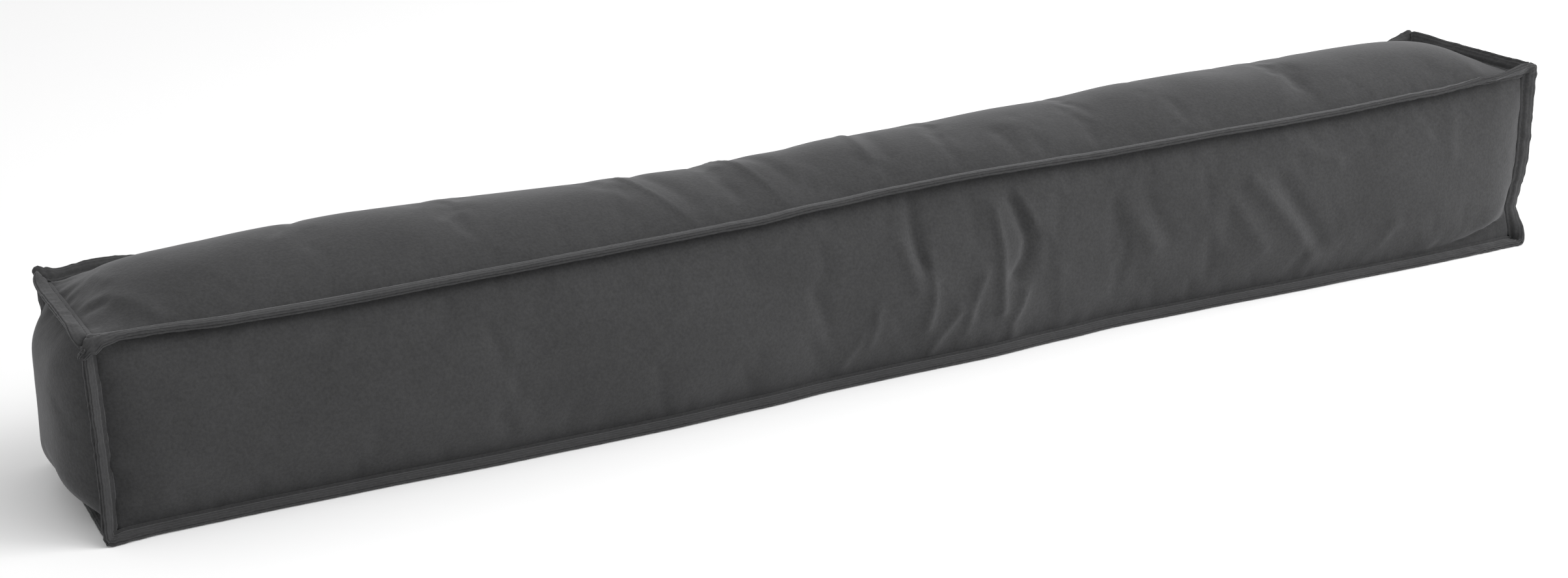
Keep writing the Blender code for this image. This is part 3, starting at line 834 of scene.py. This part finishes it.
def flange_outline(width, parting):
    """Section of a flange as distance from its root, offset from its middle and wrinkle share."""
    top = []
    for share, half in FLANGE_SECTION:
        gap = parting * math.exp(-((share - PARTING_PLACE) / PARTING_SPREAD) ** 2)
        top.append((share * width, half - gap, min(share * WRINKLE_ONSET, 1.0)))
    last, half = top[-1][0], top[-1][1]
    edge = []
    for step in range(1, EDGE_POINTS):
        angle = 90 - 180 * step / EDGE_POINTS
        depth = sum(deep * math.exp(-((angle - place) / spread) ** 2)
                    for place, deep, spread in EDGE_GROOVES)
        squared = 1 + EDGE_SQUARENESS * math.sin(math.radians(2 * angle)) ** 2
        reach = squared - depth / half
        edge.append((last + (width - last) * math.cos(math.radians(angle)) * reach,
                     half * math.sin(math.radians(angle)) * reach, 1.0))
    bottom = [(share * width, -half, min(share * WRINKLE_ONSET, 1.0))
              for share, half in reversed(FLANGE_SECTION)]
    return top + edge + bottom


def flange_grid(stations, closed, settings):
    """Points of a flange's section at each station."""
    grid = []
    for index, station in enumerate(stations):
        before, after = neighbours(stations, index, closed)
        from_end = min(index, len(stations) - 1 - index)
        end_share = 1.0 if closed else min(from_end / BAR_END_STATIONS + BAR_END_LEAST, 1.0)
        row = []
        strength = straight(WRINKLE_STRENGTH, station.root.x / MM) * settings.wrinkle
        for across, offset, wrinkle_share in flange_outline(station.width, station.parting):
            drift = Vector((across, -across, across)) / WRINKLE_DRIFT
            wave = noise.noise(station.root / WRINKLE_PITCH + drift)
            ripple = (2 * wave - math.exp(-(wave / WRINKLE_SHARPNESS) ** 2)) * strength
            offset = offset * end_share + math.copysign(1, offset) * ripple * wrinkle_share
            offset += station.crumple * across / station.width
            point = middle_point(station, across)
            point += layer_normal(before, station, after, across) * offset
            point.z = max(point.z, FLOOR_CLEARANCE)
            row.append(point)
        grid.append(row)
    return grid


def bar_mesh(grid, closed):
    """A closed tube of faces through a grid of sections: a ring, or a bar with closed ends."""
    mesh = bmesh.new()
    around = len(grid[0])
    rows = len(grid)
    profile = bmesh.ops.create_circle(mesh, segments=around, radius=PROFILE_RADIUS)
    if closed:
        upright_turn = Matrix.Rotation(math.pi / 2, 4, "X")
        bmesh.ops.transform(mesh, verts=profile["verts"],
                            matrix=Matrix.Translation(RIGHT) @ upright_turn)
        bmesh.ops.spin(mesh, geom=mesh.verts[:] + mesh.edges[:], cent=(0, 0, 0), axis=UP,
                       angle=math.tau, steps=rows, use_merge=True)
        for vert in mesh.verts:
            turn = math.atan2(vert.co.y, vert.co.x) / math.tau
            radial = math.hypot(vert.co.x, vert.co.y) - 1
            spot = math.atan2(vert.co.z, radial) / math.tau
            vert.co = grid[round(turn * rows) % rows][round(spot * around) % around]
        return mesh
    rim = mesh.edges[:]
    bmesh.ops.contextual_create(mesh, geom=rim)
    for row in range(1, rows):
        extruded = bmesh.ops.extrude_edge_only(mesh, edges=rim)["geom"]
        new = [item for item in extruded if isinstance(item, bmesh.types.BMVert)]
        rim = [item for item in extruded if isinstance(item, bmesh.types.BMEdge)
               and all(vert in new for vert in item.verts)]
        bmesh.ops.translate(mesh, verts=new, vec=UP)
    bmesh.ops.contextual_create(mesh, geom=rim)
    for vert in mesh.verts:
        spot = math.atan2(vert.co.y, vert.co.x) / math.tau
        vert.co = grid[round(vert.co.z)][round(spot * around) % around]
    return mesh


def make_flange(name, stations, closed, settings, material):
    """One flange with its layered edge, standing for its CAD node."""
    mesh = bar_mesh(flange_grid(stations, closed, settings), closed)
    piece = add_piece(name + "_cover", mesh, material)
    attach(piece, "root")
    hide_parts(name)


def stitch_path(stations, closed, side):
    """A curve along the foot of a flange, on its upper or lower side."""
    points = []
    half = straight(FLANGE_SECTION, STITCH_PLACE)
    for index, station in enumerate(stations):
        before, after = neighbours(stations, index, closed)
        across = STITCH_PLACE * station.width
        normal = layer_normal(before, station, after, across)
        points.append(middle_point(station, across) + normal * half * side)
    curve = bpy.data.curves.new("stitch_path", "CURVE")
    curve.dimensions = "3D"
    spline = curve.splines.new("POLY")
    spline.points.add(len(points) - 1)
    for spot, point in zip(spline.points, points):
        spot.co = (*point, 1.0)
    spline.use_cyclic_u = closed
    length = sum((b - a).length for a, b in zip(points, points[1:]))
    if closed:
        length += (points[0] - points[-1]).length
    return add_object("stitch_path", curve), length


def make_stitches(name, stations, closed, settings, material):
    """Rows of stitches along both sides of a flange, each one a short length of thread."""
    rows = []
    for side in (-1, 1):
        path, length = stitch_path(stations, closed, side)
        mesh = bmesh.new()
        bmesh.ops.create_uvsphere(mesh, u_segments=STITCH_SIDES,
                                  v_segments=STITCH_RINGS, radius=0.5,
                                  matrix=Matrix.Rotation(math.pi / 2, 4, "Y"))
        bmesh.ops.scale(mesh, verts=mesh.verts,
                        vec=(settings.length, settings.thread, settings.thread))
        row = add_piece(name, mesh, material)
        repeat = row.modifiers.new("repeat", "ARRAY")
        count = round(length / settings.pitch)
        repeat.count = count
        repeat.use_relative_offset = False
        repeat.use_constant_offset = True
        repeat.constant_offset_displace = (length / count, 0, 0)
        follow = row.modifiers.new("follow", "CURVE")
        follow.object = path
        follow.deform_axis = "POS_X"
        apply_modifiers(row)
        bpy.data.objects.remove(path)
        rows.append(row)
    keep, other = rows
    mesh = bmesh.new()
    mesh.from_mesh(keep.data)
    mesh.from_mesh(other.data)
    bpy.data.objects.remove(other)
    mesh.to_mesh(keep.data)
    mesh.free()
    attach(keep, "root")


def add_node(tree, kind, **inputs):
    """A shader node with the given inputs set or linked."""
    node = tree.nodes.new(kind)
    for name, value in inputs.items():
        socket = node.inputs[name.replace("_", " ")]
        if isinstance(value, bpy.types.NodeSocket):
            tree.links.new(value, socket)
        else:
            socket.default_value = value
    return node


def spots(tree, place, pattern):
    """A noise pattern with values from 0 to 1."""
    scale, detail, roughness = pattern
    node = add_node(tree, "ShaderNodeTexNoise", Vector=place, Scale=scale, Detail=detail,
                    Roughness=roughness)
    return node.outputs["Fac"]


def ranged(tree, value, extremes):
    """A pattern's values moved to lie between two extremes."""
    node = tree.nodes.new("ShaderNodeMapRange")
    tree.links.new(value, node.inputs["Value"])
    names = ("From Min", "From Max", "To Min", "To Max")
    for name, number in zip(names, NOISE_RANGE + extremes):
        node.inputs[name].default_value = number
    return node.outputs["Result"]


def product(tree, one, other):
    """Two values multiplied."""
    node = tree.nodes.new("ShaderNodeMath")
    node.operation = "MULTIPLY"
    tree.links.new(one, node.inputs[0])
    tree.links.new(other, node.inputs[1])
    return node.outputs["Value"]


def new_material(name):
    """A new material, with its node tree, its shader and the object's own coordinates."""
    material = bpy.data.materials.new(name)
    material.use_nodes = True
    tree = material.node_tree
    place = tree.nodes.new("ShaderNodeTexCoord").outputs["Object"]
    return material, tree, tree.nodes["Principled BSDF"], place


def shade_colour(tree, shader, colour, shade):
    """Give a shader a colour that a pattern makes lighter and darker."""
    node = tree.nodes.new("ShaderNodeVectorMath")
    node.operation = "SCALE"
    node.inputs[0].default_value = list(colour)
    tree.links.new(shade, node.inputs["Scale"])
    tree.links.new(node.outputs["Vector"], shader.inputs["Base Color"])


def velvet_material(name, settings):
    """Short velvet pile: fine grain, brushed patches, and a soft sheen along the folds."""
    material, tree, shader, place = new_material(name)
    grain = spots(tree, place, GRAIN)
    fleck = spots(tree, place, FLECK)
    brushed = spots(tree, place, BRUSHED)
    shade = product(tree, ranged(tree, grain, GRAIN_SHADES), ranged(tree, fleck, FLECK_SHADES))
    shade = product(tree, shade, ranged(tree, brushed, BRUSHED_SHADES))
    shade_colour(tree, shader, settings.colour, shade)
    tree.links.new(ranged(tree, fleck, VELVET_ROUGHNESS), shader.inputs["Roughness"])
    shader.inputs["Specular IOR Level"].default_value = 0.25
    shader.inputs["Sheen Weight"].default_value = settings.sheen
    shader.inputs["Sheen Roughness"].default_value = 0.45
    shader.inputs["Sheen Tint"].default_value = (0.80, 0.80, 0.82, 1.0)
    pile = add_node(tree, "ShaderNodeBump", Height=grain, Distance=settings.grain, Strength=0.7)
    nap = add_node(tree, "ShaderNodeBump", Height=fleck, Distance=settings.grain * 1.5,
                   Strength=0.2, Normal=pile.outputs["Normal"])
    tree.links.new(nap.outputs["Normal"], shader.inputs["Normal"])
    return material


def thread_material(settings):
    """Twisted sewing thread, a little smoother than the pile."""
    material, tree, shader, place = new_material("sewing_thread")
    shade = ranged(tree, spots(tree, place, TWIST), TWIST_SHADES)
    shade_colour(tree, shader, settings.thread_colour, shade)
    shader.inputs["Roughness"].default_value = 0.6
    return material


def floor_material(settings):
    """Matt white studio floor with the faintest unevenness."""
    material, tree, shader, place = new_material("studio_floor")
    shade = ranged(tree, spots(tree, place, UNEVENNESS), FLOOR_SHADES)
    shade_colour(tree, shader, settings.floor_colour, shade)
    shader.inputs["Roughness"].default_value = 0.9
    shader.inputs["Specular IOR Level"].default_value = 0.1
    return material


def make_floor(settings):
    """The plain floor that the object lies on."""
    mesh = bmesh.new()
    bmesh.ops.create_grid(mesh, x_segments=4, y_segments=4, size=settings.floor_size / 2)
    floor = add_piece("studio_floor", mesh, floor_material(settings))


def make_surround(settings):
    """White light from all round."""
    world = bpy.data.worlds.new("studio")
    world.use_nodes = True
    background = world.node_tree.nodes["Background"]
    background.inputs["Color"].default_value = (1.0, 1.0, 1.0, 1.0)
    background.inputs["Strength"].default_value = settings.surround
    bpy.context.scene.world = world


def make_light(name, power, size, place, aim):
    """A large soft light turned towards a point."""
    data = bpy.data.lights.new(name, "AREA")
    data.shape = "RECTANGLE"
    data.energy = power
    data.size, data.size_y = size
    light = add_object(name, data)
    light.location = place
    light.rotation_euler = (Vector(aim) - Vector(place)).to_track_quat("-Z", "Y").to_euler()


def make_camera():
    """The camera at the photograph's place and angle."""
    data = bpy.data.cameras.new("photo_camera")
    data.lens = CAMERA_LENS
    data.sensor_width = SENSOR_WIDTH
    camera = add_object("photo_camera", data)
    turn = Matrix.Rotation(math.radians(CAMERA_AZIMUTH), 4, "Z")
    turn @= Matrix.Rotation(math.radians(90 - CAMERA_ELEVATION), 4, "X")
    back = (turn @ Vector((0, 0, 1))) * CAMERA_DISTANCE
    for angle, axis in ((CAMERA_YAW, "Y"), (CAMERA_PITCH, "X"), (CAMERA_ROLL, "Z")):
        turn @= Matrix.Rotation(math.radians(angle), 4, axis)
    camera.matrix_world = Matrix.Translation(CENTRE + UP * AIM_HEIGHT + back) @ turn
    bpy.context.scene.camera = camera


class EXCLUDER_OT_make_cushion(bpy.types.Operator):
    """Make the filled velvet cushion with its folds"""

    bl_idname = "excluder.make_cushion"
    bl_label = "Make the Cushion"

    def execute(self, context):
        scene = context.scene
        velvet = velvet_material("panel_velvet", scene.excluder_velvet)
        make_cushion(scene.excluder_cover, velvet)
        return {"FINISHED"}


class EXCLUDER_OT_make_flanges(bpy.types.Operator):
    """Make the flanges round the front and back panels and along the ends"""

    bl_idname = "excluder.make_flanges"
    bl_label = "Make the Flanges"

    def execute(self, context):
        scene = context.scene
        settings = scene.excluder_flange
        velvet = velvet_material("flange_velvet", scene.excluder_velvet)
        for name, stations, closed in every_flange(settings):
            make_flange(name + "_flange", stations, closed, settings, velvet)
        return {"FINISHED"}


class EXCLUDER_OT_make_stitches(bpy.types.Operator):
    """Make the topstitching at the foot of every flange"""

    bl_idname = "excluder.make_stitches"
    bl_label = "Make the Stitches"

    def execute(self, context):
        scene = context.scene
        thread = thread_material(scene.excluder_velvet)
        for name, stations, closed in every_flange(scene.excluder_flange):
            make_stitches(name + "_stitches", stations, closed, scene.excluder_stitch, thread)
        return {"FINISHED"}


class EXCLUDER_OT_make_stage(bpy.types.Operator):
    """Make the floor, the studio lights and the camera"""

    bl_idname = "excluder.make_stage"
    bl_label = "Make the Stage"

    def execute(self, context):
        settings = context.scene.excluder_stage
        make_floor(settings)
        make_surround(settings)
        make_light("main_light", settings.key_power, *MAIN_LIGHT)
        make_light("side_light", settings.side_power, *SIDE_LIGHT)
        make_camera()
        context.scene.view_settings.view_transform = "Standard"
        return {"FINISHED"}


class EXCLUDER_PT_panel(bpy.types.Panel):
    """Draught excluder tools in the sidebar"""

    bl_idname = "EXCLUDER_PT_panel"
    bl_label = "Draught Excluder"
    bl_space_type = "VIEW_3D"
    bl_region_type = "UI"
    bl_category = "Draught Excluder"

    def draw(self, context):
        layout = self.layout
        for name, kind, operator in PARTS:
            box = layout.box()
            settings = getattr(context.scene, name)
            for prop in kind.__annotations__:
                box.prop(settings, prop)
            if operator:
                box.operator(operator.bl_idname)


# Name on the scene, its settings, and the operator that reads them
PARTS = (
    ("excluder_velvet", VelvetSettings, None),
    ("excluder_cover", CoverSettings, EXCLUDER_OT_make_cushion),
    ("excluder_flange", FlangeSettings, EXCLUDER_OT_make_flanges),
    ("excluder_stitch", StitchSettings, EXCLUDER_OT_make_stitches),
    ("excluder_stage", StageSettings, EXCLUDER_OT_make_stage),
)


def register():
    """Register the settings, the operators and the panel."""
    for name, settings, operator in PARTS:
        bpy.utils.register_class(settings)
        setattr(bpy.types.Scene, name, bpy.props.PointerProperty(type=settings))
        if operator:
            bpy.utils.register_class(operator)
    bpy.utils.register_class(EXCLUDER_PT_panel)


def unregister():
    """Take them away again."""
    bpy.utils.unregister_class(EXCLUDER_PT_panel)
    for name, settings, operator in reversed(PARTS):
        if operator:
            bpy.utils.unregister_class(operator)
        delattr(bpy.types.Scene, name)
        bpy.utils.unregister_class(settings)


def main():
    """Make every piece and the stage."""
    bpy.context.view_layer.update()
    register()
    bpy.ops.excluder.make_stage()
    bpy.ops.excluder.make_cushion()
    bpy.ops.excluder.make_flanges()
    bpy.ops.excluder.make_stitches()


if __name__ == "__main__":
    main()
